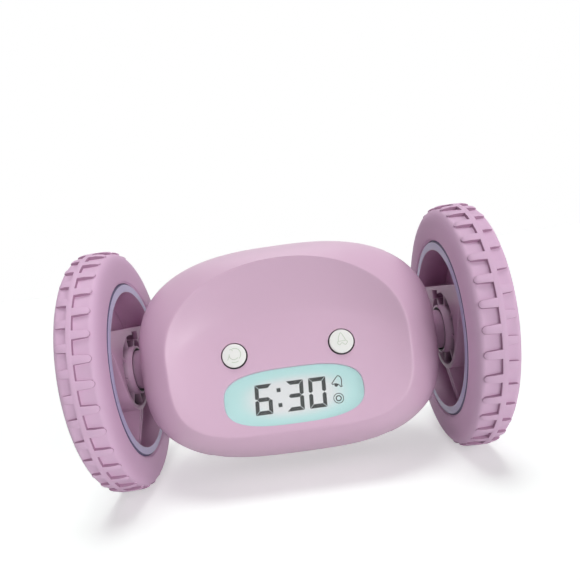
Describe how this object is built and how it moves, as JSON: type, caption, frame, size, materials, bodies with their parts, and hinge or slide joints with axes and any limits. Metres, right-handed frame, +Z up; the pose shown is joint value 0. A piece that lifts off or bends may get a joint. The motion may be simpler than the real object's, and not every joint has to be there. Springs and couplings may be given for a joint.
{
  "type": "two-wheeled runaway alarm clock",
  "caption": "Rounded alarm clock body with a sunken display face, slung between large treaded wheels driven by geared motors.",
  "frame": {"origin": "on the floor, under the middle of the wheel axle", "axes": "+X along the wheel axle to the clock's left-hand wheel as the clock looks out, which is the picture's right; -Y the way the face looks; +Z up"},
  "size_m": [0.1362, 0.086, 0.086],
  "materials": {
    "shell": "smooth moulded, satin sheen",
    "tyre": "matt rubber",
    "rim": "satin moulded",
    "wheel_centre": "satin moulded",
    "window": "clear, tinted edge",
    "lcd": "lit panel",
    "digits": "dark figures",
    "button": "smooth white",
    "board": "printed circuit board",
    "steel": "plain steel",
    "white_plastic": "moulded",
    "black_plastic": "moulded",
    "cell": "plain wrap",
    "gear": "moulded acetal",
    "brass": "plain"
  },
  "bodies": {
    "body": {"front_shell": "shell", "rear_shell": "shell", "display_window": "window", "lcd_panel": "lcd", "lcd_digits": "digits", "lcd_holder": "white_plastic", "main_board": "board", "board_screws": "steel", "face_switches": "black_plastic", "battery_tray": "shell", "battery_contacts": "steel", "battery_cells": "cell", "speaker": "black_plastic", "setting_board": "board", "setting_switches": "black_plastic", "shell_screws": "steel", "left_motor": "steel", "left_gearbox_base": "white_plastic", "left_gearbox_cover": "white_plastic", "left_gearbox_screws": "steel", "left_axle_bearing": "wheel_centre", "right_motor": "steel", "right_gearbox_base": "white_plastic", "right_gearbox_cover": "white_plastic", "right_gearbox_screws": "steel", "right_axle_bearing": "wheel_centre"},
    "snooze_button": {"snooze_button": "button"},
    "alarm_button": {"alarm_button": "button"},
    "hour_key": {"hour_key": "button"},
    "minute_key": {"minute_key": "button"},
    "wake_time_key": {"wake_time_key": "button"},
    "wheel_setting_key": {"wheel_setting_key": "button"},
    "battery_door": {"battery_door": "shell", "door_screws": "steel"},
    "left_wheel": {"left_tyre": "tyre", "left_rim": "rim", "left_hub_cover": "wheel_centre", "left_wheel_screw": "steel", "left_axle": "steel", "left_output_gear": "gear"},
    "left_second_gear": {"left_second_gear": "gear"},
    "left_first_gear": {"left_first_gear": "gear"},
    "left_motor_pinion": {"left_motor_pinion": "brass"},
    "right_wheel": {"right_tyre": "tyre", "right_rim": "rim", "right_hub_cover": "wheel_centre", "right_wheel_screw": "steel", "right_axle": "steel", "right_output_gear": "gear"},
    "right_second_gear": {"right_second_gear": "gear"},
    "right_first_gear": {"right_first_gear": "gear"},
    "right_motor_pinion": {"right_motor_pinion": "brass"}
  },
  "joints": [
    {"name": "left_wheel_spin", "type": "hinge", "parent": "body", "child": "left_wheel", "pos_m": [0, 0, 0.043], "axis": [1, 0, 0], "continuous": true},
    {"name": "left_second_gear_spin", "type": "hinge", "parent": "body", "child": "left_second_gear", "pos_m": [0, 0.00834, 0.03508], "axis": [1, 0, 0], "continuous": true},
    {"name": "left_first_gear_spin", "type": "hinge", "parent": "body", "child": "left_first_gear", "pos_m": [0, 0.01383, 0.04519], "axis": [1, 0, 0], "continuous": true},
    {"name": "left_motor_pinion_spin", "type": "hinge", "parent": "body", "child": "left_motor_pinion", "pos_m": [0, 0.00489, 0.05243], "axis": [1, 0, 0], "continuous": true},
    {"name": "right_wheel_spin", "type": "hinge", "parent": "body", "child": "right_wheel", "pos_m": [0, 0, 0.043], "axis": [1, 0, 0], "continuous": true},
    {"name": "right_second_gear_spin", "type": "hinge", "parent": "body", "child": "right_second_gear", "pos_m": [0, 0.00834, 0.03508], "axis": [1, 0, 0], "continuous": true},
    {"name": "right_first_gear_spin", "type": "hinge", "parent": "body", "child": "right_first_gear", "pos_m": [0, 0.01383, 0.04519], "axis": [1, 0, 0], "continuous": true},
    {"name": "right_motor_pinion_spin", "type": "hinge", "parent": "body", "child": "right_motor_pinion", "pos_m": [0, 0.00489, 0.05243], "axis": [1, 0, 0], "continuous": true},
    {"name": "snooze_button_press", "type": "slide", "parent": "body", "child": "snooze_button", "axis": [0, 0.929, -0.3701], "range_m": [0, 0.0005], "stiffness_N_per_m": 600, "springref_m": -0.0005},
    {"name": "alarm_button_press", "type": "slide", "parent": "body", "child": "alarm_button", "axis": [0, 0.929, -0.3701], "range_m": [0, 0.0005], "stiffness_N_per_m": 600, "springref_m": -0.0005},
    {"name": "hour_key_press", "type": "slide", "parent": "body", "child": "hour_key", "axis": [0, -0.9724, 0.2334], "range_m": [0, 0.0005], "stiffness_N_per_m": 600, "springref_m": -0.0005},
    {"name": "minute_key_press", "type": "slide", "parent": "body", "child": "minute_key", "axis": [0, -0.9724, 0.2334], "range_m": [0, 0.0005], "stiffness_N_per_m": 600, "springref_m": -0.0005},
    {"name": "wake_time_key_press", "type": "slide", "parent": "body", "child": "wake_time_key", "axis": [0, -0.9724, 0.2334], "range_m": [0, 0.0005], "stiffness_N_per_m": 600, "springref_m": -0.0005},
    {"name": "wheel_setting_key_press", "type": "slide", "parent": "body", "child": "wheel_setting_key", "axis": [0, -0.9724, 0.2334], "range_m": [0, 0.0005], "stiffness_N_per_m": 600, "springref_m": -0.0005},
    {"name": "battery_door_lift", "type": "slide", "parent": "body", "child": "battery_door", "axis": [0, -0.2334, -0.9724], "range_m": [0, 0.025]}
  ],
  "couplings": [
    {"joint": "left_second_gear_spin", "follows": "left_wheel_spin", "ratio": -3.6},
    {"joint": "left_first_gear_spin", "follows": "left_wheel_spin", "ratio": 12.96},
    {"joint": "left_motor_pinion_spin", "follows": "left_wheel_spin", "ratio": -46.656},
    {"joint": "right_second_gear_spin", "follows": "right_wheel_spin", "ratio": -3.6},
    {"joint": "right_first_gear_spin", "follows": "right_wheel_spin", "ratio": 12.96},
    {"joint": "right_motor_pinion_spin", "follows": "right_wheel_spin", "ratio": -46.656}
  ]
}
